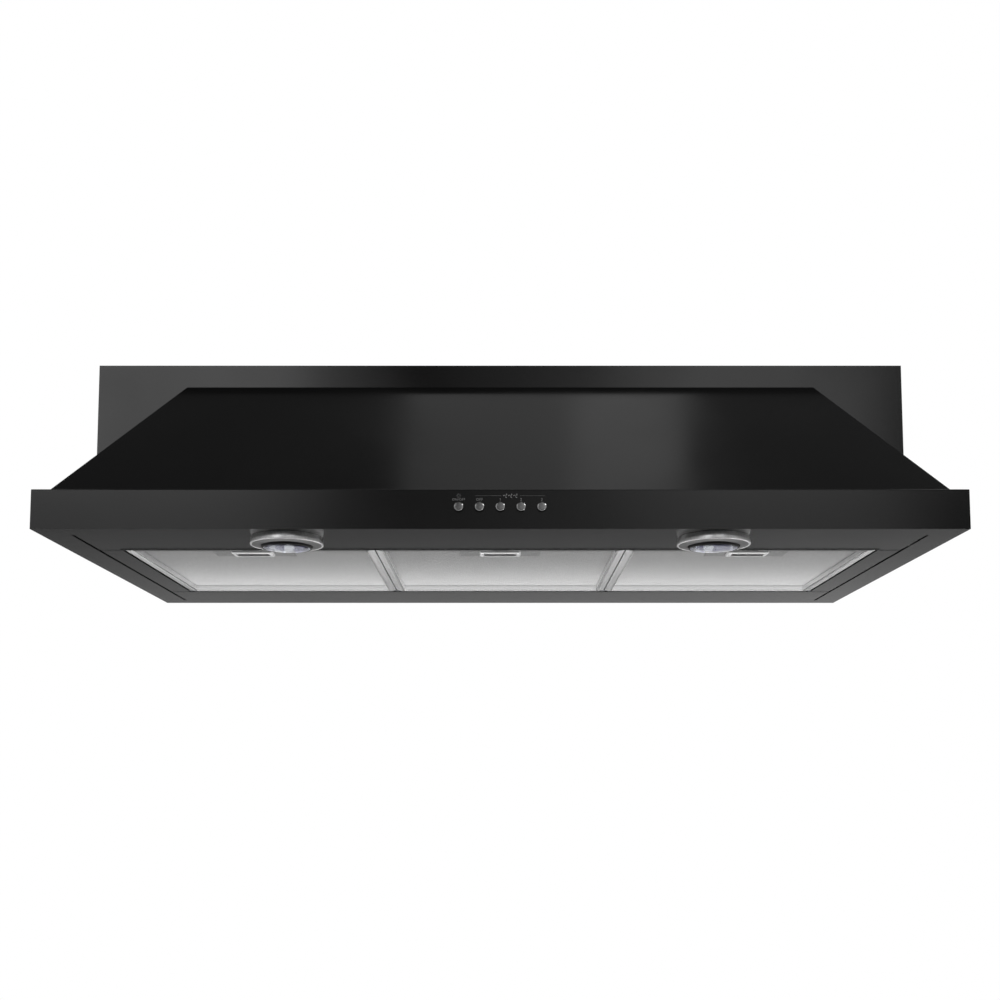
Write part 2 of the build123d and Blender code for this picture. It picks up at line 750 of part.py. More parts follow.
def motor_bracket():
    """Spider that holds the motor's back to the casing's side."""
    x = (casing_outer, casing_outer + sheet)
    spider = rod_x(motor_radius, x, wheel_y, wheel_z)
    arm = block(x, (0, motor_arm_reach), around(0, motor_arm_width))
    for angle in motor_angles():
        spider += Pos(0, wheel_y, wheel_z) * Rot(angle, 0, 0) * arm
    for y, z in motor_screw_places():
        spider -= rod_x(screw_radius + screw_clearance, (x[0] - 1, x[1] + 1), y, z)
    return spider


def wiring_box():
    """Connection box in the rear right corner, open to the front, with tabs for its cover."""
    x = (wiring_left, wiring_right)
    box = block(x, (wiring_front, -sheet), (wiring_low, -sheet))
    box -= block((x[0] + sheet, x[1] - sheet), (wiring_front - sheet, -2 * sheet),
                 (wiring_low + sheet, -2 * sheet))
    box -= rod_y(wiring_box_hole_radius, wiring_bore_x, (-3 * sheet, 0), wiring_bore_z)
    for place, near in zip(x, (1, -1)):
        tab = sorted((place, place + near * cover_tab))
        box += block(tab, (wiring_front, wiring_front + sheet), around(wiring_bore_z, cover_tab))
    cable_hole = (wiring_low - sheet, wiring_low + 2 * sheet)
    box -= rod_z(cable_radius + clip_clearance, cable_x, cable_rear_y, cable_hole)
    for x_place in cover_screw_places():
        tab_hole = (wiring_front - sheet, wiring_front + 2 * sheet)
        box -= rod_y(screw_radius + screw_clearance, x_place, tab_hole, wiring_bore_z)
    return box


def cover_screw_places():
    """X places of the cover's two screws."""
    return around(wiring_bore_x, wiring_box_width - cover_tab)


def wiring_cover():
    """Flat cover of the connection box."""
    cover_y = (wiring_front - sheet, wiring_front)
    cover = block((wiring_left, wiring_right), cover_y, (wiring_low, -2 * sheet))
    for x in cover_screw_places():
        hole_y = (wiring_front - 2 * sheet, wiring_front + sheet)
        cover -= rod_y(screw_radius + screw_clearance, x, hole_y, wiring_bore_z)
    return cover


def terminal_block():
    """Terminal strip on the floor of the connection box."""
    left = wiring_left + terminal_inset
    strip = block((left, left + terminal_width), around(cable_rear_y, terminal_depth),
                  (wiring_low + sheet, wiring_low + sheet + terminal_height))
    return fillet(strip.edges().filter_by(Axis.X).group_by(Axis.Z)[-1], terminal_edge_radius)


def capacitor():
    """Run capacitor on the underside of the top panel."""
    x, y = capacitor_place
    width, depth, height = capacitor_size
    case = block((x, x + width), (y, y + depth), (-sheet - height, -sheet))
    return fillet(case.edges().filter_by(Axis.Z), capacitor_edge_radius)


def harness_route():
    """Corners of the cable from the switch, along the pan and up into the connection box."""
    drop_y = (switch_back + cable_y) / 2
    return [(cable_start_x, switch_back, button_z), (cable_start_x, drop_y, button_z),
            (2 * cable_start_x, cable_y, cable_z), (cable_x, cable_y, cable_z),
            (cable_x, cable_rear_y, cable_z), (cable_x, cable_rear_y, wiring_low + cable_end_rise)]


def switch_harness():
    """Sheathed cable of the switch."""
    path = FilletPolyline(*harness_route(), radius=cable_bend)
    face = Plane(origin=path @ 0, z_dir=path % 0) * Circle(cable_radius)
    return sweep(face, path=path)


def harness_clip(x, y, turn):
    """Saddle that holds the cable on the pan."""
    saddle_top = cable_z + cable_radius + clip_clearance + sheet
    saddle = block((-clip_width / 2, clip_width / 2), around(0, clip_foot), (pan_top, saddle_top))
    saddle -= rod_x(cable_radius + clip_clearance, (-clip_width, clip_width), 0, cable_z)
    throat = around(0, 2 * (cable_radius + clip_clearance))
    saddle -= block((-clip_width, clip_width), throat, (pan_top - sheet, cable_z))
    return Pos(x, y, 0) * Rot(0, 0, turn) * saddle


def harness_clips():
    """Three clips along the cable."""
    places = [(lamp_spacing / 2, cable_y, 0), (cable_x, opening_front / 2 + opening_rear / 2, 90),
              (cable_x, opening_rear, 90)]
    return Compound(children=[harness_clip(*place) for place in places])


def screw(length):
    """Pan-head screw pointing along Z, with the underside of its head at zero."""
    head = Pos(0, 0, -screw_head_height / 2) * Cylinder(screw_head_radius, screw_head_height)
    head = fillet(head.edges().filter_by(GeomType.CIRCLE).sort_by(Axis.Z)[0], screw_head_height / 2)
    return head + Pos(0, 0, length / 2) * Cylinder(screw_radius, length)


def blower_screws():
    """Screws up through the casing's flange, the collar's base and the top panel."""
    seat = collar_base - sheet
    return Compound(children=[Pos(x, y, seat) * screw(blower_screw_length) for x, y in blower_screw_places])


def motor_screws():
    """Screws through the spider's arms into the casing's side."""
    seat = casing_outer + sheet
    turn = Rot(0, -90, 0)
    return Compound(children=[Pos(seat, y, z) * turn * screw(screw_length) for y, z in motor_screw_places()])


def cover_screws():
    """Screws of the connection box's cover."""
    turn = Rot(-90, 0, 0)
    seat = wiring_front - sheet
    return Compound(children=[Pos(x, seat, wiring_bore_z) * turn * screw(screw_length)
                              for x in cover_screw_places()])


os.makedirs("parts", exist_ok=True)
save("top_panel", top_panel())
save("back_panel", back_panel())
save("box_front_panel", box_front_panel())
save("canopy_visor", canopy_visor())
save("front_apron", front_apron())
save("underside_pan", underside_pan())
save("rear_filter_channel", rear_filter_channel())
for side_name, side_sign in sides.items():
    save(side_name + "_side_panel", side_panel(side_sign))
    save(side_name + "_filter_rail", filter_rail(side_sign))
    lamp_x = side_sign * lamp_spacing / 2
    save(side_name + "_lamp_bezel", lamp_bezel(lamp_x))
    save(side_name + "_lamp_bulb", lamp_bulb(lamp_x))
    save(side_name + "_lamp_socket", lamp_socket(lamp_x))
    save(side_name + "_lamp_strap", lamp_strap(lamp_x))
for filter_name, filter_x in filter_places.items():
    save(filter_name + "_filter_frame", filter_frame(filter_x))
    save(filter_name + "_filter_mesh", filter_mesh(filter_x))
    save(filter_name + "_filter_latch", filter_latch(filter_x))
    save(filter_name + "_filter_catch", filter_catch(filter_x))
for button_name, button_x in button_places.items():
    save(button_name, push_button(button_x))
save("switch_block", switch_block())
save("switch_bracket", switch_bracket())
save("exhaust_collar", exhaust_collar())
save("front_damper_flap", damper_flap(-1))
save("rear_damper_flap", damper_flap(1))
save("blower_housing", blower_housing())
save("blower_wheel", blower_wheel())
save("motor", motor())
save("motor_shaft", motor_shaft())
save("motor_bracket", motor_bracket())
save("wiring_box", wiring_box())
save("wiring_cover", wiring_cover())
save("terminal_block", terminal_block())
save("capacitor", capacitor())
save("switch_harness", switch_harness())
save("harness_clips", harness_clips())
save("blower_screws", blower_screws())
save("motor_screws", motor_screws())
save("cover_screws", cover_screws())
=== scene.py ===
import json
import math

import bmesh
import bpy
from mathutils import Matrix, Vector


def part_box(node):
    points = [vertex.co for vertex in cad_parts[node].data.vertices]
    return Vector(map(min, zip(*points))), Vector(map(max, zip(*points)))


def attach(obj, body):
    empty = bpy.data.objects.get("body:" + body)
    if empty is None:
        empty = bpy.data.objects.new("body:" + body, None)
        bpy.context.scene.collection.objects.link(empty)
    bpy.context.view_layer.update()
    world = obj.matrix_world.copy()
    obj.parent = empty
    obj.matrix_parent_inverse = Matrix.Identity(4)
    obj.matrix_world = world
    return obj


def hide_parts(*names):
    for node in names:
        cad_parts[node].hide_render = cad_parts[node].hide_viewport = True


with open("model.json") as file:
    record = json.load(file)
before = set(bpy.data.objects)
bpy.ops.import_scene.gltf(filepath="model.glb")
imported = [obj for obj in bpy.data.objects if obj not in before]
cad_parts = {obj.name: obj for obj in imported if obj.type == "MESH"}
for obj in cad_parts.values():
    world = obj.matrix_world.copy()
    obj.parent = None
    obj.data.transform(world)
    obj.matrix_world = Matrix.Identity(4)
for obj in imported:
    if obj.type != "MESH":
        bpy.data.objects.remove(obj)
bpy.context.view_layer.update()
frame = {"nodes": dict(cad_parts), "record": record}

# An under cabinet range hood, dressed to look like the photograph.
# Lengths are in metres in the CAD frame, unless a name ends in _mm. Angles are in degrees, turns in radians.

scene = bpy.context.scene
mm = 0.001
micron = 0.000001
sides = ("left", "right")
filters = ("left", "center", "right")
buttons = ("lamp", "off", "low", "medium", "high")

# Painted shade on a filter frame: its front channel and its latch plate are darkened. Depth and rise are
# from the frame's front lower edge, and the half width is from the filter's middle. The shaded plate is
# rougher, too.
# The two darkening levels below are painted shade, not a real tone of the aluminium.
channel_depth_mm = 10.3
channel_painted_shade = 1.0
plate_depth_mm = 44.0
plate_rise_mm = 1.0
plate_half_mm = 43.0
plate_painted_shade = 0.33
plate_rougher = 0.5
mask_blur_mm = 0.1
mask_clear_mm = 0.02
frame_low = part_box("center_filter_frame")[0]
filter_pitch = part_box("right_filter_frame")[0].x - frame_low.x

# Part of a noise value that is used
noise_low = 0.3
noise_high = 0.7

# Camera, as fitted to the photograph
camera_place = (0.0, -1.6510, -0.4720)
camera_tilt = 5.247
camera_lens_mm = 43.74
camera_sensor_mm = 36.0
camera_shift = (-0.00024, 0.17)

# Floor
floor_radius = 2.0
floor_height = -1.5
floor_steps = 64
fade_start = 0.4
fade_end = 1.7

# Softboxes in front
front_y = -3.3
left_x = -1.41
right_x = 0.91
middle_x = 0.15
high_z = 1.09
low_z = 0.19
middle_z = 0.6

# Softboxes overhead, below and on the right
top_y = 0.13
top_z = 1.9
top_left_x = -0.035
top_right_x = 0.355
below_place = (0.2, 0.06, -0.62)
below_target = (0.2, 0.03, -0.2)
side_high_place = (1.5, -0.4, 0.9)
side_low_place = (0.85, -0.65, -0.9)
side_target = (0.0, -0.5, -0.2)

# What reflections see, by the direction of the ray
back_start = 0.3
back_end = 0.9
front_level = 0.08
rise_start = -0.2
rise_end = -0.06
rise_level = 0.92
across_half = 0.5
across_left = 0.75
across_right = 1.25
ends_start = 0.2
ends_end = 0.8
ends_level = 0.6
plain_level = 0.5

# Filter mesh, in millimetres, with the swing of a strand as a share of its row
strand_pitch_mm = 5.0
strand_row_mm = 2.2
strand_width_mm = 0.9
strand_thickness_mm = 0.5
strand_swing = 0.425
core_pitch_mm = 3.0
core_wave_mm = 0.35
core_thickness_mm = 1.6
mesh_margin_mm = (16.0, 0.6, 0.0)

# Rolled edge round a filter's window, in millimetres
window_inset_mm = 9.4
bead_radius_mm = 0.8
bead_lift_mm = 0.1
bead_corner_mm = 2.0
bead_corner_steps = 6
bead_sides = 10

# Bevel at the rear of a filter's window, as (inset, rise) in millimetres from the frame's lower edge
bevel_outline_mm = [(9.6, 0.1), (10.2, 0.2), (15.3, 4.5), (15.5, 4.7), (9.6, 4.7)]
bevel_end_mm = 10.2

# Folded cover along each side of a filter, as (inset, drop) in millimetres from the frame's lower edge
cover_outline_mm = [(0.5, -0.2), (0.6, 0.1), (0.9, 0.2), (7.0, 1.3), (7.3, 1.2), (7.7, -0.2)]
cover_front_mm = 0.6
cover_rear_mm = 12.0

# Lamp pieces, as (radius, height) in millimetres from the pan's lower face
bezel_outline_mm = [
    (25.75, 10.0), (25.75, -8.9), (26.3, -9.4), (34.5, -8.0), (34.9, -7.8), (35.2, -8.1), (36.5, -8.0),
    (36.5, -6.8), (36.35, -4.6), (35.0, -0.6), (34.8, 0.0), (28.25, 0.0), (28.25, 10.0),
]
bulb_shell_mm = [
    (24.2, -10.4), (24.2, -3.0), (21.4, 11.5), (9.2, 21.0), (9.0, 29.0), (0.0, 29.0), (0.0, 22.0),
    (4.6, 21.0), (5.0, 16.5), (9.0, 15.0), (15.6, 9.6), (20.6, 1.6), (23.4, -8.8), (23.4, -10.4),
]
bulb_collar_mm = [
    (24.9, -11.3), (24.9, -2.6), (24.3, -2.4), (24.3, -10.6), (23.5, -10.8), (23.5, -11.5),
]
bulb_glass_mm = [
    (0.0, -11.9), (8.0, -11.87), (15.0, -11.78), (20.5, -11.6), (23.4, -11.4),
    (23.4, -10.5), (20.5, -10.6), (15.0, -10.7), (8.0, -10.75), (0.0, -10.8),
]
capsule_mm = [
    (0.0, -4.5), (1.2, -4.1), (2.6, -2.6), (3.6, -0.4), (3.9, 2.0), (3.9, 12.0), (3.2, 14.0), (3.2, 20.8),
    (0.0, 20.8),
]
bezel_height_mm = 8.0
bezel_bore_mm = 26.0
bezel_face_mm = 34.6
bezel_round_mm = 0.6
collar_round_mm = 0.3
capsule_round_mm = 0.5
facet_steps = 14
facet_crease = 4.0
capsule_steps = 24
round_steps = 96

# Push buttons, as (radius, distance behind the front face) in millimetres
button_outline_mm = [
    (0.0, 0.0), (3.6, 0.0), (4.5, 0.8), (4.5, 5.0), (5.8, 5.0), (5.8, 6.5),
    (2.2, 6.5), (2.2, 20.5), (0.0, 20.5),
]
button_round_mm = 0.25
button_steps = 48

# Printed signs, in millimetres
label_height_mm = 2.6
label_low_mm = 7.3
label_high_mm = 11.1
long_label_share = 0.9
line_width_mm = 0.12
line_left_mm = 4.0
line_right_mm = 3.0
line_gap_mm = 9.0
lamp_ring_mm = 0.9
lamp_ring_width_mm = 0.45
lamp_rays = 8
ray_start_mm = 1.6
ray_end_mm = 2.0
ray_width_mm = 0.35
fan_pitch_mm = 5.0
fan_blades = 3
blade_turn = 0.4
blade_bend_turn = 0.6
blade_knee_mm = 1.1
blade_tip_mm = 1.9
blade_root_width_mm = 0.6
blade_tip_width_mm = 0.75
print_proud_mm = 0.04
print_sunk_mm = 0.03
cap_share = 0.7
letter_slim_mm = 0.03
letter_space = 1.08
letter_steps = 3
fascia_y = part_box("front_apron")[0].y


def make_piece(name, verts, faces, materials, marks=None, crease=30.0):
    """Makes an object from points and faces, smooth except at edges sharper than the crease angle."""
    mesh = bpy.data.meshes.new(name)
    mesh.from_pydata(verts, [], faces)
    for material in materials:
        mesh.materials.append(material)
    if marks:
        mesh.polygons.foreach_set("material_index", marks)
    shape = bmesh.new()
    shape.from_mesh(mesh)
    bmesh.ops.recalc_face_normals(shape, faces=shape.faces)
    shape.to_mesh(mesh)
    shape.free()
    mesh.shade_smooth()
    mesh.set_sharp_from_angle(angle=math.radians(crease))
    piece = bpy.data.objects.new(name, mesh)
    scene.collection.objects.link(piece)
    return piece


def soften(outline, radius, steps=3):
    """Rounds the corners of a closed outline and keeps the points on the axis."""
    points = [Vector(p) for p in outline]
    softened = []
    for i, point in enumerate(points):
        before = points[i - 1] - point
        after = points[(i + 1) % len(points)] - point
        reach = min(radius, before.length * 0.45, after.length * 0.45)
        if point.x == 0.0 or reach < 1e-4:
            softened.append(point)
            continue
        start = point + before.normalized() * reach
        end = point + after.normalized() * reach
        for k in range(steps + 1):
            t = k / steps
            softened.append(start * (1 - t) ** 2 + point * 2 * t * (1 - t) + end * t ** 2)
    return [tuple(p) for p in softened]


def lathe(outline, steps, mark=None):
    """Spins a closed outline in millimetres about the Z axis and returns points, faces and marks."""
    verts = []
    rings = []
    for radius, height in outline:
        first = len(verts)
        count = 1 if radius == 0.0 else steps
        for k in range(count):
            turn = 2 * math.pi * k / steps
            verts.append((radius * math.cos(turn) * mm, radius * math.sin(turn) * mm, height * mm))
        rings.append([first + k % count for k in range(steps + 1)])
    faces = []
    marks = []
    for i, ring in enumerate(rings):
        after = rings[(i + 1) % len(rings)]
        middle_radius = (outline[i][0] + outline[(i + 1) % len(outline)][0]) / 2
        for k in range(steps):
            face = list(dict.fromkeys((ring[k], ring[k + 1], after[k + 1], after[k])))
            if len(face) > 2:
                faces.append(face)
                marks.append(mark(middle_radius) if mark else 0)
    return verts, faces, marks


def middle_of(node):
    """Middle of a node's box."""
    low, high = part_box(node)
    return (low + high) / 2


# Materials

def surface(name, colour, roughness, metallic=0.0):
    """New material with its shader set to plain values."""
    material = bpy.data.materials.new(name)
    material.use_nodes = True
    tree = material.node_tree
    shader = tree.nodes["Principled BSDF"]
    shader.inputs["Base Color"].default_value = (*colour, 1.0)
    shader.inputs["Roughness"].default_value = roughness
    shader.inputs["Metallic"].default_value = metallic
    return material, tree, shader


def coordinates(tree, stretch=(1.0, 1.0, 1.0)):
    """Object coordinates in metres, times a stretch along each axis."""
    source = tree.nodes.new("ShaderNodeTexCoord")
    mapping = tree.nodes.new("ShaderNodeMapping")
    mapping.inputs["Scale"].default_value = stretch
    tree.links.new(source.outputs["Object"], mapping.inputs["Vector"])
    return mapping.outputs["Vector"]


def noise(tree, vector, scale, detail=2.0):
    """Noise value from 0 to 1."""
    node = tree.nodes.new("ShaderNodeTexNoise")
    node.inputs["Scale"].default_value = scale
    node.inputs["Detail"].default_value = detail
    tree.links.new(vector, node.inputs["Vector"])
    return node.outputs["Fac"]


def spread(tree, value, low, high):
    """Maps the middle of a noise value to a range."""
    node = tree.nodes.new("ShaderNodeMapRange")
    node.inputs["From Min"].default_value = noise_low
    node.inputs["From Max"].default_value = noise_high
    node.inputs["To Min"].default_value = low
    node.inputs["To Max"].default_value = high
    tree.links.new(value, node.inputs["Value"])
    return node.outputs["Result"]


def ranged(tree, value, start, end, low, high):
    """Maps a value from one range to another, with soft ends."""
    node = tree.nodes.new("ShaderNodeMapRange")
    node.interpolation_type = "SMOOTHSTEP"
    node.inputs["From Min"].default_value = start
    node.inputs["From Max"].default_value = end
    node.inputs["To Min"].default_value = low
    node.inputs["To Max"].default_value = high
    tree.links.new(value, node.inputs["Value"])
    return node.outputs["Result"]


def combine(tree, operation, first, second):
    """Joins two values by a sum, product or the like."""
    node = tree.nodes.new("ShaderNodeMath")
    node.operation = operation
    tree.links.new(first, node.inputs[0])
    tree.links.new(second, node.inputs[1])
    return node.outputs["Value"]


def tint(tree, shader, value, dark, light):
    """Colours the shader between two colours by a noise value."""
    node = tree.nodes.new("ShaderNodeValToRGB")
    node.color_ramp.elements[0].position = noise_low
    node.color_ramp.elements[0].color = (*dark, 1.0)
    node.color_ramp.elements[1].position = noise_high
    node.color_ramp.elements[1].color = (*light, 1.0)
    tree.links.new(value, node.inputs["Fac"])
    tree.links.new(node.outputs["Color"], shader.inputs["Base Color"])


def relief(tree, shader, height, depth, strength=1.0):
    """Fine bump on the shader, with a depth in metres."""
    node = tree.nodes.new("ShaderNodeBump")
    node.inputs["Strength"].default_value = strength
    node.inputs["Distance"].default_value = depth
    tree.links.new(height, node.inputs["Height"])
    tree.links.new(node.outputs["Normal"], shader.inputs["Normal"])


def grey(level):
    """Neutral colour."""
    return (level, level, level)


def paint(name, level, gloss, uneven=0.04):
    """Powder coat with dark grain, uneven gloss and a fine peel."""
    material, tree, shader = surface(name, grey(level), gloss)
    at = coordinates(tree)
    grain = noise(tree, at, 600.0, 3.0)
    tint(tree, shader, grain, grey(level * 0.75), grey(level * 1.3))
    cloud = noise(tree, at, 7.0)
    tree.links.new(spread(tree, cloud, gloss - uneven, gloss + uneven), shader.inputs["Roughness"])
    peel = noise(tree, at, 380.0)
    relief(tree, shader, peel, 20 * micron, 0.5)
    return material


def brushed(name, level, gloss, stretch, depth=10 * micron):
    """Metal with fine lines along one axis."""
    material, tree, shader = surface(name, grey(level), gloss, 1.0)
    lines = noise(tree, coordinates(tree, stretch), 1.0, 4.0)
    tint(tree, shader, lines, grey(level * 0.9), grey(level * 1.06))
    tree.links.new(spread(tree, lines, gloss - 0.06, gloss + 0.06), shader.inputs["Roughness"])
    relief(tree, shader, lines, depth, 0.4)
    return material


def frame_shade_masks(tree):
    """Masks of painted shade on the latch plates and on the front channel of a filter frame."""
    split = tree.nodes.new("ShaderNodeSeparateXYZ")
    tree.links.new(coordinates(tree), split.inputs["Vector"])
    blur = mask_blur_mm * mm
    channel_rear = frame_low.y + channel_depth_mm * mm
    plate_rear = frame_low.y + plate_depth_mm * mm
    plate_low = frame_low.z + plate_rise_mm * mm
    plate_half = plate_half_mm * mm
    # Darkens the colour of the front channel and of the latch plate: painted shade.
    channel = ranged(tree, split.outputs["Y"], channel_rear - blur, channel_rear + blur, channel_painted_shade, 0.0)
    ahead = ranged(tree, split.outputs["Y"], plate_rear - blur, plate_rear + blur, plate_painted_shade, 0.0)
    above = ranged(tree, split.outputs["Z"], plate_low - blur, plate_low - mask_clear_mm * mm, 0.0, 1.0)
    aside = tree.nodes.new("ShaderNodeMath")
    aside.operation = "PINGPONG"
    aside.inputs[1].default_value = filter_pitch / 2
    tree.links.new(split.outputs["X"], aside.inputs[0])
    between = ranged(tree, aside.outputs["Value"], plate_half, plate_half + blur, 1.0, 0.0)
    plate = combine(tree, "MULTIPLY", combine(tree, "MULTIPLY", ahead, above), between)
    return plate, channel


def frame_metal():
    """Satin aluminium with a fine grain, with painted shade on the front channel and on the latch plates,
    which are rougher too.
    """
    material, tree, shader = surface("filter_aluminium", grey(0.86), 0.4, 1.0)
    grain = noise(tree, coordinates(tree, (1400.0, 90.0, 1400.0)), 1.0, 3.0)
    plate, channel = frame_shade_masks(tree)
    # finish is the grain with painted shade taken off on the front channel and latch plates.
    painted_shade = combine(tree, "MAXIMUM", channel, plate)
    finish = combine(tree, "SUBTRACT", spread(tree, grain, 0.6, 0.72), painted_shade)
    tint(tree, shader, finish, grey(0.28), grey(0.88))
    rougher = tree.nodes.new("ShaderNodeMath")
    rougher.operation = "MULTIPLY_ADD"
    rougher.inputs[1].default_value = plate_rougher
    tree.links.new(plate, rougher.inputs[0])
    tree.links.new(spread(tree, grain, 0.29, 0.35), rougher.inputs[2])
    tree.links.new(rougher.outputs["Value"], shader.inputs["Roughness"])
    relief(tree, shader, grain, 4 * micron, 0.2)
    return material


def turned_metal(name, level, gloss, rings):
    """Metal with fine rings about the piece's own axis."""
    material, tree, shader = surface(name, grey(level), gloss, 1.0)
    at = coordinates(tree)
    wave = tree.nodes.new("ShaderNodeTexWave")
    wave.wave_type = "RINGS"
    wave.rings_direction = "Z"
    wave.inputs["Scale"].default_value = rings
    wave.inputs["Distortion"].default_value = 0.6
    tree.links.new(at, wave.inputs["Vector"])
    tint(tree, shader, noise(tree, at, 400.0), grey(level * 0.9), grey(level * 1.08))
    cloud = noise(tree, at, 60.0)
    tree.links.new(spread(tree, cloud, gloss - 0.04, gloss + 0.05), shader.inputs["Roughness"])
    relief(tree, shader, wave.outputs["Fac"], 6 * micron, 0.35)
    return material


def galvanised():
    """Zinc sheet with its pattern of crystals."""
    material, tree, shader = surface("galvanised_sheet", grey(0.5), 0.4, 1.0)
    at = coordinates(tree)
    cells = tree.nodes.new("ShaderNodeTexVoronoi")
    cells.inputs["Scale"].default_value = 170.0
    tree.links.new(at, cells.inputs["Vector"])
    split = tree.nodes.new("ShaderNodeSeparateColor")
    tree.links.new(cells.outputs["Color"], split.inputs["Color"])
    tint(tree, shader, split.outputs["Red"], (0.5, 0.51, 0.53), (0.6, 0.61, 0.63))
    tree.links.new(spread(tree, split.outputs["Green"], 0.34, 0.44), shader.inputs["Roughness"])
    relief(tree, shader, noise(tree, at, 700.0), 20 * micron, 0.3)
    return material


def moulded(name, dark, light, gloss, grain=900.0):
    """Moulded plastic, rubber or ceramic with a fine grain."""
    material, tree, shader = surface(name, light, gloss)
    at = coordinates(tree)
    tint(tree, shader, noise(tree, at, 40.0, 5.0), dark, light)
    cloud = noise(tree, at, 120.0)
    tree.links.new(spread(tree, cloud, gloss - 0.06, gloss + 0.06), shader.inputs["Roughness"])
    relief(tree, shader, noise(tree, at, grain), 40 * micron, 0.4)
    return material


def reflector_coating():
    """Mirror coating with violet patches."""
    material, tree, shader = surface("reflector_coating", grey(0.8), 0.08, 1.0)
    at = coordinates(tree)
    patches = spread(tree, noise(tree, at, 80.0), -0.5, 2.1)
    tint(tree, shader, patches, (0.3, 0.29, 0.4), (0.97, 0.97, 0.98))
    tree.links.new(spread(tree, noise(tree, at, 200.0), 0.05, 0.12), shader.inputs["Roughness"])
    return material


def clear_glass():
    """Lamp glass with faint waves."""
    material, tree, shader = surface("lamp_glass", (0.96, 0.98, 1.0), 0.03)
    shader.inputs["Transmission Weight"].default_value = 1.0
    shader.inputs["IOR"].default_value = 1.45
    at = coordinates(tree)
    tree.links.new(spread(tree, noise(tree, at, 90.0), 0.01, 0.06), shader.inputs["Roughness"])
    relief(tree, shader, noise(tree, at, 60.0), 40 * micron, 0.3)
    return material


materials = {
    "black_paint": paint("black_powder_coat", 0.0035, 0.2),
    "visor_paint": paint("visor_powder_coat", 0.0035, 0.17),
    "pan_paint": paint("pan_powder_coat", 0.0035, 0.2, 0.008),
    "galvanised": galvanised(),
    "filter_mesh": brushed("filter_strands", 0.5, 0.42, (500.0, 90.0, 500.0)),
    "filter_frame": frame_metal(),
    "cover": brushed("cover_aluminium", 0.86, 0.42, (1400.0, 90.0, 1400.0), 4 * micron),
    "bead": brushed("bead_aluminium", 0.92, 0.26, (2000.0, 2000.0, 2000.0), micron),
    "latch": brushed("latch_steel", 0.9, 0.48, (20.0, 1200.0, 1200.0), 4 * micron),
    "spring_steel": brushed("spring_steel", 0.5, 0.3, (900.0, 15.0, 900.0)),
    "bezel": turned_metal("bezel_steel", 0.78, 0.38, 260.0),
    "bezel_face": turned_metal("bezel_satin_steel", 0.16, 0.42, 900.0),
    "collar": paint("collar_black", 0.003, 0.6),
    "bezel_dark": paint("bezel_black", 0.012, 0.3),
    "bulb": clear_glass(),
    "reflector": reflector_coating(),
    "ceramic": moulded("lamp_ceramic", (0.68, 0.66, 0.62), (0.82, 0.8, 0.76), 0.45),
    "button": turned_metal("button_steel", 0.36, 0.18, 700.0),
    "switch": moulded("switch_plastic", grey(0.018), grey(0.03), 0.5),
    "wheel": brushed("wheel_aluminium", 0.66, 0.36, (18.0, 600.0, 600.0)),
    "motor": paint("motor_lacquer", 0.02, 0.36),
    "shaft": brushed("ground_steel", 0.6, 0.22, (900.0, 60.0, 60.0)),
    "capacitor": moulded("capacitor_case", (0.5, 0.5, 0.48), (0.62, 0.62, 0.6), 0.42),
    "terminal": moulded("terminal_nylon", (0.6, 0.59, 0.54), (0.74, 0.73, 0.68), 0.5),
    "cable": moulded("cable_sheath", grey(0.35), grey(0.44), 0.5, 500.0),
    "clip": moulded("clip_nylon", grey(0.55), grey(0.68), 0.45),
    "screw": brushed("zinc_screw", 0.6, 0.26, (300.0, 300.0, 60.0)),
    "print": moulded("label_print", grey(0.22), grey(0.28), 0.55, 1400.0),
}


def dress_cad():
    """Gives each CAD node the material of its slot."""
    for part in frame["record"]["subparts"]:
        node = frame["nodes"][part["node"]]
        material = materials[part["material_slot"]]
        node.data.materials.clear()
        node.data.materials.append(material)
    frame["nodes"]["canopy_visor"].data.materials[0] = materials["visor_paint"]
    for name in ("underside_pan", "left_filter_rail", "right_filter_rail"):
        frame["nodes"][name].data.materials[0] = materials["pan_paint"]


# Filter mesh

def add_net(verts, faces, size, height, phase):
    """Adds one layer of expanded mesh: zigzag strands that meet at their corners."""
    columns = int(size.x / mm / (strand_pitch_mm / 2))
    rows = int(size.y / mm / strand_row_mm)
    step_x = size.x / columns
    step_y = size.y / rows
    wide = strand_width_mm * mm / 2
    thick = strand_thickness_mm * mm / 2
    section = ((-wide, 0.0), (0.0, -thick), (wide, 0.0), (0.0, thick))
    for row in range(rows):
        first = len(verts)
        for column in range(columns + 1):
            swing = strand_swing if (column + row + phase) % 2 else -strand_swing
            x = -size.x / 2 + column * step_x
            y = -size.y / 2 + (row + 0.5 + swing) * step_y
            y = max(-size.y / 2 + wide, min(size.y / 2 - wide, y))
            verts.extend((x, y + dy, height + dz) for dy, dz in section)
        for column in range(columns):
            at = first + 4 * column
            for k in range(4):
                n = (k + 1) % 4
                faces.append((at + k, at + n, at + 4 + n, at + 4 + k))
        faces.append((first, first + 1, first + 2, first + 3))
        last = first + 4 * columns
        faces.append((last, last + 1, last + 2, last + 3))


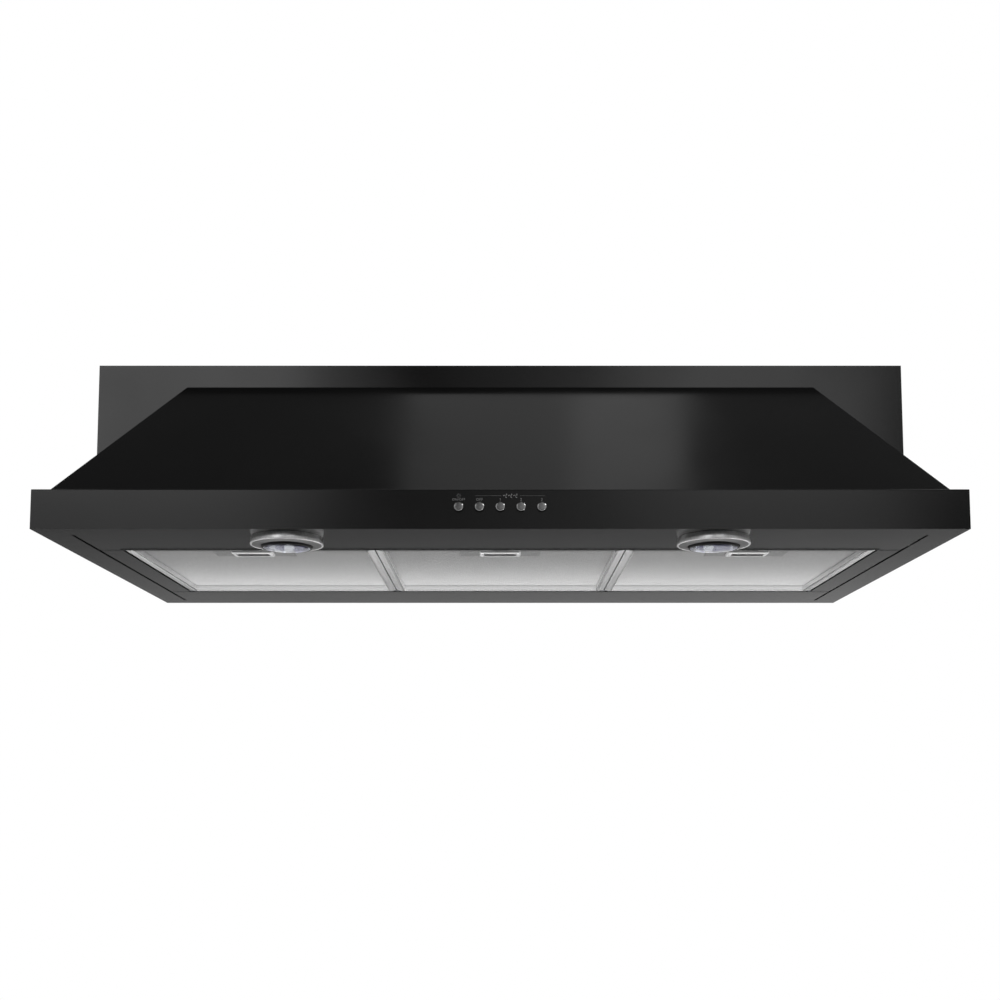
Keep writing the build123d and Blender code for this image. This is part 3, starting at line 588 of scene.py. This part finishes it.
def add_core(verts, faces, size, thickness):
    """Adds the crumpled foil between the two nets, as a closed wavy sheet."""
    columns = int(size.x / mm / core_pitch_mm)
    rows = int(size.y / mm / core_pitch_mm)
    first = len(verts)
    for level in (-0.5, 0.5):
        for row in range(rows + 1):
            for column in range(columns + 1):
                wave = core_wave_mm * mm * (0.5 if (column * 7 + row * 5) % 3 else -0.5)
                x = (column / columns - 0.5) * size.x
                y = (row / rows - 0.5) * size.y
                verts.append((x, y, level * thickness + wave))
    wide = columns + 1
    layer = wide * (rows + 1)
    for row in range(rows):
        for column in range(columns):
            a = first + row * wide + column
            quad = (a, a + 1, a + 1 + wide, a + wide)
            faces.append(quad)
            faces.append(tuple(v + layer for v in reversed(quad)))
    border = [first + k for k in range(columns)]
    border += [first + columns + wide * k for k in range(rows)]
    border += [first + wide * rows + columns - k for k in range(columns)]
    border += [first + wide * (rows - k) for k in range(rows)]
    for k, a in enumerate(border):
        b = border[(k + 1) % len(border)]
        faces.append((a, a + layer, b + layer, b))


def filter_meshes():
    """Layered mesh for the three filters, which share one shape."""
    low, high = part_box("center_filter_mesh")
    size = high - low - Vector(mesh_margin_mm) * mm
    verts = []
    faces = []
    half = size.z / 2 - strand_thickness_mm * mm / 2
    add_net(verts, faces, size, -half, 0)
    add_net(verts, faces, size, half, 1)
    add_core(verts, faces, size, core_thickness_mm * mm)
    first = make_piece("center_mesh_layers", verts, faces, [materials["filter_mesh"]], crease=60.0)
    for place in filters:
        piece = first
        if place != "center":
            piece = bpy.data.objects.new(f"{place}_mesh_layers", first.data)
            scene.collection.objects.link(piece)
        piece.location = middle_of(f"{place}_filter_mesh")
        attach(piece, f"{place}_filter")
        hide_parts(f"{place}_filter_mesh")


def tube(path, radius, corners):
    """Points and faces of a closed tube along an open path, in metres."""
    verts = []
    faces = []
    for i, point in enumerate(path):
        ahead = (path[min(i + 1, len(path) - 1)] - path[max(i - 1, 0)]).normalized()
        across = ahead.cross(Vector((0.0, 0.0, 1.0))).normalized()
        for k in range(corners):
            turn = 2 * math.pi * k / corners
            up = Vector((0.0, 0.0, radius * math.sin(turn)))
            verts.append(point + across * radius * math.cos(turn) + up)
    for i in range(len(path) - 1):
        for k in range(corners):
            n = (k + 1) % corners
            a = i * corners
            faces.append((a + k, a + n, a + corners + n, a + corners + k))
    faces.append(list(range(corners)))
    faces.append(list(range((len(path) - 1) * corners, len(path) * corners)))
    return verts, faces


def window_path(place):
    """Path along the left, rear and right of a filter's window."""
    low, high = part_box(f"{place}_filter_frame")
    centre = (low.x + high.x) / 2
    half = (high.x - low.x) / 2 - window_inset_mm * mm
    front = low.y + window_inset_mm * mm
    rear = high.y - window_inset_mm * mm
    height = low.z + bead_lift_mm * mm
    corner = bead_corner_mm * mm
    points = [(-half, front)]
    for x, start in ((-half + corner, 180), (half - corner, 90)):
        for k in range(bead_corner_steps + 1):
            turn = math.radians(start - 90 * k / bead_corner_steps)
            points.append((x + corner * math.cos(turn), rear - corner + corner * math.sin(turn)))
    points.append((half, front))
    return [Vector((centre + x, y, height)) for x, y in points]


def window_beads():
    """Rolled edge round the lower window of each filter frame."""
    for place in filters:
        verts, faces = tube(window_path(place), bead_radius_mm * mm, bead_sides)
        piece = make_piece(f"{place}_window_bead", verts, faces, [materials["bead"]], crease=50.0)
        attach(piece, f"{place}_filter")


def add_prism(verts, faces, near, far):
    """Adds a closed prism between two outlines of as many points."""
    first = len(verts)
    count = len(near)
    verts.extend(near)
    verts.extend(far)
    for k in range(count):
        n = (k + 1) % count
        faces.append((first + k, first + n, first + count + n, first + count + k))
    faces.append([first + k for k in range(count)])
    faces.append([first + count + k for k in range(count)])


def side_covers():
    """Folded covers on the left and right of each filter frame."""
    for place in filters:
        low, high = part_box(f"{place}_filter_frame")
        ends = (low.y + cover_front_mm * mm, high.y - cover_rear_mm * mm)
        verts = []
        faces = []
        for edge, inward in ((low.x, mm), (high.x, -mm)):
            near, far = ([(edge + inset * inward, y, low.z - drop * mm) for inset, drop in cover_outline_mm]
                         for y in ends)
            add_prism(verts, faces, near, far)
        piece = make_piece(f"{place}_side_covers", verts, faces, [materials["cover"]])
        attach(piece, f"{place}_filter")


def rear_bevels():
    """Bevelled strip at the rear of each filter's window."""
    for place in filters:
        low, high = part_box(f"{place}_filter_frame")
        ends = (low.x + bevel_end_mm * mm, high.x - bevel_end_mm * mm)
        near, far = ([(x, high.y - inset * mm, low.z + rise * mm) for inset, rise in bevel_outline_mm]
                     for x in ends)
        verts = []
        faces = []
        add_prism(verts, faces, near, far)
        piece = make_piece(f"{place}_rear_bevel", verts, faces, [materials["filter_frame"]])
        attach(piece, f"{place}_filter")


# Lamps

def lamp_place(side):
    """Middle of a lamp at the pan's lower face."""
    low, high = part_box(f"{side}_lamp_bezel")
    return ((low.x + high.x) / 2, (low.y + high.y) / 2, low.z + bezel_height_mm * mm)


def bezel_mark(radius):
    """Dark inside, satin on the face, steel outside."""
    if radius < bezel_bore_mm:
        return 1
    return 2 if radius < bezel_face_mm else 0


def lamp_bezels():
    """Turned rings round the lamps."""
    outline = soften(bezel_outline_mm, bezel_round_mm)
    verts, faces, marks = lathe(outline, round_steps, bezel_mark)
    for side in sides:
        finish = [materials["bezel"], materials["bezel_dark"], materials["bezel_face"]]
        piece = make_piece(f"{side}_lamp_ring", verts, faces, finish, marks)
        piece.location = lamp_place(side)
        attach(piece, "hood")
        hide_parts(f"{side}_lamp_bezel")


def lamp_part(name, outline, steps, material, side, crease=30.0):
    """One turned piece of a bulb, at its lamp."""
    verts, faces, marks = lathe(outline, steps)
    piece = make_piece(name, verts, faces, [material], marks, crease)
    piece.location = lamp_place(side)
    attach(piece, "hood")
    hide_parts(f"{side}_lamp_bulb")


def lamp_bulbs():
    """Reflector bulbs: faceted bowl, black collar, front glass and capsule."""
    collar = soften(bulb_collar_mm, collar_round_mm)
    capsule = soften(capsule_mm, capsule_round_mm)
    bowl = materials["reflector"]
    for side in sides:
        lamp_part(f"{side}_bulb_reflector", bulb_shell_mm, facet_steps, bowl, side, facet_crease)
        lamp_part(f"{side}_bulb_collar", collar, round_steps, materials["collar"], side)
        lamp_part(f"{side}_bulb_glass", bulb_glass_mm, round_steps, materials["bulb"], side)
        lamp_part(f"{side}_bulb_capsule", capsule, capsule_steps, materials["ceramic"], side)


# Buttons and their labels

def push_buttons():
    """Turned buttons with a flat face and a bevelled rim."""
    outline = [(radius, -behind) for radius, behind in button_outline_mm]
    verts, faces, marks = lathe(soften(outline, button_round_mm), button_steps)
    for name in buttons:
        piece = make_piece(f"{name}_button_cap", verts, faces, [materials["button"]], marks)
        low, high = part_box(f"{name}_button")
        centre = (low + high) / 2
        place = Matrix.Translation((centre.x, low.y, centre.z))
        piece.matrix_world = place @ Matrix.Rotation(math.pi / 2, 4, "X")
        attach(piece, f"{name}_button")
        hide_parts(f"{name}_button")


def add_bar(verts, faces, start, end, width):
    """Adds a flat printed bar between two (x, z) points in millimetres."""
    ahead = (Vector(end) - Vector(start)).normalized() * width / 2
    side = Vector((-ahead.y, ahead.x))
    corners = [Vector(start) - ahead - side, Vector(end) + ahead - side,
               Vector(end) + ahead + side, Vector(start) - ahead + side]
    first = len(verts)
    for depth in (print_proud_mm, -print_sunk_mm):
        verts.extend((c.x * mm, fascia_y - depth * mm, c.y * mm) for c in corners)
    faces.append([first + k for k in range(4)])
    faces.append([first + 7 - k for k in range(4)])
    for k in range(4):
        n = (k + 1) % 4
        faces.append((first + k, first + 4 + k, first + 4 + n, first + n))


def add_words(verts, faces, words, place, height):
    """Adds printed numbers or words, centred on an (x, z) point in millimetres."""
    curve = bpy.data.curves.new("print_words", "FONT")
    curve.body = words
    curve.align_x = "CENTER"
    curve.align_y = "CENTER"
    curve.size = height * mm / cap_share
    curve.extrude = (print_proud_mm + print_sunk_mm) * mm / 2
    curve.resolution_u = letter_steps
    curve.offset = -letter_slim_mm * mm
    curve.space_character = letter_space
    holder = bpy.data.objects.new("print_words", curve)
    mesh = bpy.data.meshes.new_from_object(holder)
    first = len(verts)
    middle = (print_proud_mm - print_sunk_mm) * mm / 2
    for vertex in mesh.vertices:
        x, up, out = vertex.co
        verts.append((place[0] * mm + x, fascia_y - middle - out, place[1] * mm + up))
    faces.extend([first + v for v in polygon.vertices] for polygon in mesh.polygons)
    bpy.data.objects.remove(holder)
    bpy.data.curves.remove(curve)
    bpy.data.meshes.remove(mesh)


def add_ring(verts, faces, place, radius, width, steps=20):
    """Adds a printed ring of short bars."""
    for k in range(steps):
        ends = []
        for turn in (2 * math.pi * k / steps, 2 * math.pi * (k + 1) / steps):
            ends.append((place[0] + radius * math.cos(turn), place[1] + radius * math.sin(turn)))
        add_bar(verts, faces, ends[0], ends[1], width)


def add_lamp_sign(verts, faces, place):
    """Adds a small lamp sign: a ring with rays."""
    add_ring(verts, faces, place, lamp_ring_mm, lamp_ring_width_mm)
    at = Vector(place)
    for k in range(lamp_rays):
        turn = 2 * math.pi * k / lamp_rays
        ray = Vector((math.cos(turn), math.sin(turn)))
        add_bar(verts, faces, at + ray * ray_start_mm, at + ray * ray_end_mm, ray_width_mm)


def add_fan_sign(verts, faces, place):
    """Adds a small fan sign: three bent blades about a hub."""
    at = Vector(place)
    for k in range(fan_blades):
        turn = 2 * math.pi * k / fan_blades + blade_turn
        bent = turn + blade_bend_turn
        knee = at + Vector((math.cos(turn), math.sin(turn))) * blade_knee_mm
        tip = at + Vector((math.cos(bent), math.sin(bent))) * blade_tip_mm
        add_bar(verts, faces, at, knee, blade_root_width_mm)
        add_bar(verts, faces, knee, tip, blade_tip_width_mm)


def panel_print():
    """Printed signs over the buttons."""
    verts = []
    faces = []
    places = [middle_of(f"{name}_button") / mm for name in buttons]
    over = places[0].z + label_low_mm
    line = places[0].z + label_high_mm
    add_lamp_sign(verts, faces, (places[0].x, line))
    add_words(verts, faces, "ON/OFF", (places[0].x, over), label_height_mm * long_label_share)
    for place, words in zip(places[1:], ("OFF", "1", "2", "3")):
        add_words(verts, faces, words, (place.x, over), label_height_mm)
    ends = (places[1].x - line_left_mm, places[4].x + line_right_mm)
    middle = (places[2].x + places[3].x) / 2
    add_bar(verts, faces, (ends[0], line), (middle - line_gap_mm, line), line_width_mm)
    add_bar(verts, faces, (middle + line_gap_mm, line), (ends[1], line), line_width_mm)
    for shift in (-fan_pitch_mm, 0.0, fan_pitch_mm):
        add_fan_sign(verts, faces, (middle + shift, line))
    piece = make_piece("panel_print", verts, faces, [materials["print"]])
    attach(piece, "hood")


# Camera and studio

def main_camera():
    """Camera at the photograph's place."""
    data = bpy.data.cameras.new("main_camera")
    data.lens = camera_lens_mm
    data.sensor_width = camera_sensor_mm
    data.shift_x, data.shift_y = camera_shift
    camera = bpy.data.objects.new("main_camera", data)
    camera.location = camera_place
    camera.rotation_euler = (math.radians(90.0 + camera_tilt), 0.0, 0.0)
    scene.collection.objects.link(camera)
    scene.camera = camera


def softbox(name, place, target, size, radiance):
    """Rectangular lamp that the camera does not see."""
    lamp = bpy.data.lights.new(name, "AREA")
    lamp.shape = "RECTANGLE"
    lamp.size, lamp.size_y = size
    lamp.energy = radiance * math.pi * size[0] * size[1]
    box = bpy.data.objects.new(name, lamp)
    box.location = place
    aim = Vector(target) - Vector(place)
    box.rotation_euler = aim.to_track_quat("-Z", "Y").to_euler()
    box.visible_camera = False
    scene.collection.objects.link(box)


def front_softbox(name, x, z, size, radiance):
    """Softbox far in front that faces straight back."""
    softbox(name, (x, front_y, z), (x, 0.0, z), size, radiance)


def studio_lamps():
    """Softboxes in front at two heights, two overhead, one below the filters and two on the right."""
    front_softbox("left_high_softbox", left_x, high_z, (1.5, 1.0), 1.95)
    front_softbox("left_low_softbox", left_x, low_z, (1.5, 0.8), 0.7)
    front_softbox("right_high_softbox", right_x, high_z, (0.94, 1.0), 1.4)
    front_softbox("right_low_softbox", right_x, low_z, (0.94, 0.8), 0.55)
    front_softbox("middle_softbox", middle_x, middle_z, (0.55, 1.6), 0.2)
    softbox("top_left_softbox", (top_left_x, top_y, top_z), (top_left_x, 0.0, 0.0), (0.47, 0.9), 0.3)
    softbox("top_right_softbox", (top_right_x, top_y, top_z), (top_right_x, 0.0, 0.0), (0.31, 0.9), 0.53)
    softbox("low_softbox", below_place, below_target, (1.7, 0.16), 2.7)
    softbox("side_high_softbox", side_high_place, side_target, (0.5, 0.5), 9.0)
    softbox("side_low_softbox", side_low_place, side_target, (0.2, 0.2), 6.0)


def studio_world():
    """White to the camera; reflections see bright sides, a back that dims downwards and a dim front."""
    world = bpy.data.worlds.new("studio")
    scene.world = world
    world.use_nodes = True
    tree = world.node_tree
    back = tree.nodes["Background"]
    source = tree.nodes.new("ShaderNodeTexCoord")
    split = tree.nodes.new("ShaderNodeSeparateXYZ")
    tree.links.new(source.outputs["Generated"], split.inputs["Vector"])
    behind = ranged(tree, split.outputs["Y"], back_start, back_end, front_level, 1.0)
    above = ranged(tree, split.outputs["Z"], rise_start, rise_end, 0.0, rise_level)
    across = ranged(tree, split.outputs["X"], -across_half, across_half, across_left, across_right)
    aside = combine(tree, "MULTIPLY", split.outputs["X"], split.outputs["X"])
    ends = ranged(tree, aside, ends_start, ends_end, 0.0, ends_level)
    backdrop = combine(tree, "MULTIPLY", combine(tree, "MULTIPLY", behind, above), across)
    facing = combine(tree, "ADD", backdrop, ends)
    rays = tree.nodes.new("ShaderNodeLightPath")
    glossy = tree.nodes.new("ShaderNodeMix")
    glossy.inputs["A"].default_value = plain_level
    tree.links.new(rays.outputs["Is Glossy Ray"], glossy.inputs["Factor"])
    tree.links.new(facing, glossy.inputs["B"])
    seen = combine(tree, "MAXIMUM", rays.outputs["Is Camera Ray"], rays.outputs["Is Transmission Ray"])
    level = tree.nodes.new("ShaderNodeMix")
    level.inputs["B"].default_value = 1.0
    tree.links.new(seen, level.inputs["Factor"])
    tree.links.new(glossy.outputs["Result"], level.inputs["A"])
    back.inputs["Color"].default_value = (1.0, 1.0, 1.0, 1.0)
    tree.links.new(level.outputs["Result"], back.inputs["Strength"])


def studio_floor():
    """Pale floor that fades to white away from the hood."""
    material, tree, shader = surface("pale_floor", grey(0.8), 0.9)
    at = coordinates(tree)
    tint(tree, shader, noise(tree, at, 3.0), grey(0.78), grey(0.82))
    distance = tree.nodes.new("ShaderNodeVectorMath")
    distance.operation = "LENGTH"
    tree.links.new(at, distance.inputs[0])
    fade = ranged(tree, distance.outputs["Value"], fade_start, fade_end, 0.0, 1.0)
    rays = tree.nodes.new("ShaderNodeLightPath")
    seen = combine(tree, "MAXIMUM", rays.outputs["Is Camera Ray"], rays.outputs["Is Transmission Ray"])
    share = combine(tree, "MULTIPLY", fade, seen)
    white = tree.nodes.new("ShaderNodeEmission")
    mix = tree.nodes.new("ShaderNodeMixShader")
    output = tree.nodes["Material Output"]
    tree.links.new(share, mix.inputs["Fac"])
    tree.links.new(shader.outputs["BSDF"], mix.inputs[1])
    tree.links.new(white.outputs["Emission"], mix.inputs[2])
    tree.links.new(mix.outputs["Shader"], output.inputs["Surface"])
    turns = [2 * math.pi * k / floor_steps for k in range(floor_steps)]
    rim = [(floor_radius * math.cos(t), floor_radius * math.sin(t), 0.0) for t in turns]
    floor = make_piece("studio_floor", rim, [list(range(floor_steps))], [material])
    floor.location = (0.0, 0.0, floor_height)


scene.view_settings.view_transform = "Standard"
dress_cad()
filter_meshes()
lamp_bezels()
lamp_bulbs()
push_buttons()
window_beads()
side_covers()
rear_bevels()
panel_print()
studio_floor()
studio_world()
studio_lamps()
main_camera()
bpy.context.view_layer.update()
